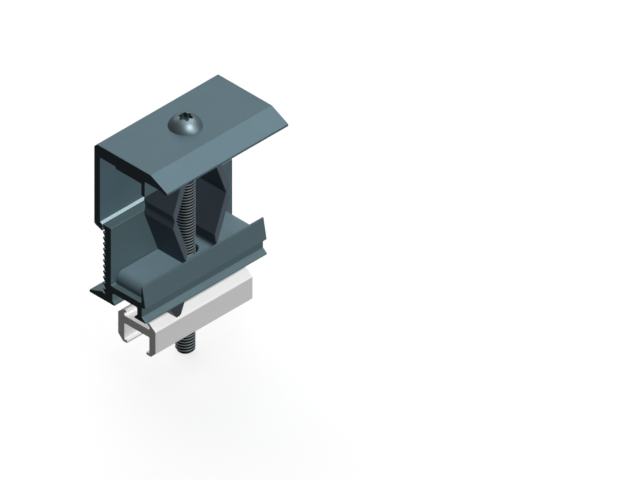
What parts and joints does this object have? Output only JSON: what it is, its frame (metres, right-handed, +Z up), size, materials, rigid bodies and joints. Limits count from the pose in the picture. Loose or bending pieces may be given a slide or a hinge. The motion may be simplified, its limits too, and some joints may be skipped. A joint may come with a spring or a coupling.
{
  "type": "solar end clamp",
  "caption": "Height-adjustable end clamp: hooked top profile on a toothed base profile with folding spacer, through bolt, rail guide and channel nut.",
  "frame": {"origin": "on the bolt's axis at the level of the mounting rail's top face, on which the base's foot and flange stand", "axes": "+X points to the panel, Y runs along both extruded profiles, +Z points up along the bolt to its head"},
  "size_m": [0.032, 0.05, 0.0834],
  "materials": {
    "anodised_base": "slate grey anodised extrusion",
    "anodised_top": "slate grey anodised extrusion",
    "spacer_plastic": "slate grey moulded plastic",
    "bolt_steel": "dark plated steel",
    "mill_aluminium": "plain extruded aluminium",
    "guide_plastic": "dark grey moulded plastic"
  },
  "bodies": {
    "base": {"base_profile": "anodised_base", "folding_spacer": "spacer_plastic"},
    "top_clamp": {"top_clamp_profile": "anodised_top"},
    "bolt": {"clamp_bolt": "bolt_steel"},
    "guide": {"rail_guide": "guide_plastic"},
    "nut": {"channel_nut": "mill_aluminium"}
  },
  "joints": [
    {"name": "clamp_height", "type": "slide", "parent": "base", "child": "top_clamp", "axis": [0, 0, 1], "range_m": [-0.02, 0], "deforming": ["folding_spacer"]},
    {"name": "bolt_turn", "type": "hinge", "parent": "top_clamp", "child": "bolt", "pos_m": [0, 0, 0.0542], "axis": [0, 0, 1], "range_deg": [-7200, 0]},
    {"name": "rail_gap_opening", "type": "slide", "parent": "base", "child": "guide", "axis": [0, 0, 1], "range_m": [-0.004, 0]},
    {"name": "nut_turn", "type": "hinge", "parent": "guide", "child": "nut", "pos_m": [0, 0, -0.0062], "axis": [0, 0, 1], "range_deg": [-90, 0]}
  ],
  "couplings": [
    {"joint": "bolt_turn", "follows": "clamp_height", "rad_per_m": 6283.2}
  ]
}
